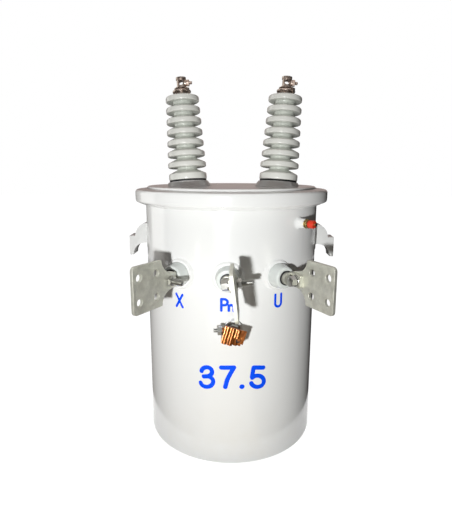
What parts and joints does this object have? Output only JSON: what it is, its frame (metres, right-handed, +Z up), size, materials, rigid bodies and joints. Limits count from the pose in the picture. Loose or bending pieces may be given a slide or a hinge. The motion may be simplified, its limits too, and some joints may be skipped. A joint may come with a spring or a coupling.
{
  "type": "single-phase pole-type distribution transformer",
  "caption": "Round white oil-filled distribution transformer tank with ribbed porcelain bushings on its clamped cover, side terminal pads, a ground connector, lifting lugs and pole hangers.",
  "frame": {"origin": "on the tank's axis, at the underside of its bottom plate", "axes": "+Z up along the tank, -Y towards the low-voltage terminals, +Y towards the pole hangers"},
  "size_m": [0.479, 0.611, 0.8258],
  "materials": {
    "tank_paint": "glossy white enamel",
    "black_rubber": "matt",
    "grey_porcelain": "glossy pale grey-green glaze",
    "white_resin": "satin moulded resin",
    "tinned_metal": "dull tin plate over bronze",
    "zinc_steel": "zinc plate",
    "ground_copper": "bare copper alloy",
    "valve_brass": "machined brass",
    "cap_red": "moulded plastic",
    "core_steel": "oiled core steel and wrapped coils"
  },
  "bodies": {
    "root": {"tank_wall": "tank_paint", "tank_bottom": "tank_paint", "cover": "tank_paint", "cover_band": "tank_paint", "lifting_lug_left": "tank_paint", "lifting_lug_right": "tank_paint", "hanger_lower": "tank_paint", "hanger_upper": "tank_paint", "cover_gasket": "black_rubber", "band_bolt": "zinc_steel", "core_and_coils": "core_steel", "ground_nut": "zinc_steel", "ground_connector": "ground_copper", "ground_bolt": "zinc_steel", "relief_body": "valve_brass", "relief_cap": "cap_red", "hv_gasket_left": "black_rubber", "hv_bushing_left": "grey_porcelain", "hv_cap_left": "tinned_metal", "hv_terminal_left": "tinned_metal", "hv_clamp_screw_left": "zinc_steel", "hv_gasket_right": "black_rubber", "hv_bushing_right": "grey_porcelain", "hv_cap_right": "tinned_metal", "hv_terminal_right": "tinned_metal", "hv_clamp_screw_right": "zinc_steel", "lv_bushing_left": "white_resin", "lv_seal_left": "black_rubber", "lv_stud_left": "tinned_metal", "lv_pad_left": "tinned_metal", "lv_bolt_left": "zinc_steel", "lv_nut_left": "zinc_steel", "lv_bushing_middle": "white_resin", "lv_seal_middle": "black_rubber", "lv_stud_middle": "tinned_metal", "lv_pad_middle": "tinned_metal", "lv_bolt_middle": "zinc_steel", "lv_nut_middle": "zinc_steel", "lv_bushing_right": "white_resin", "lv_seal_right": "black_rubber", "lv_stud_right": "tinned_metal", "lv_pad_right": "tinned_metal", "lv_bolt_right": "zinc_steel", "lv_nut_right": "zinc_steel"}
  },
  "joints": []
}
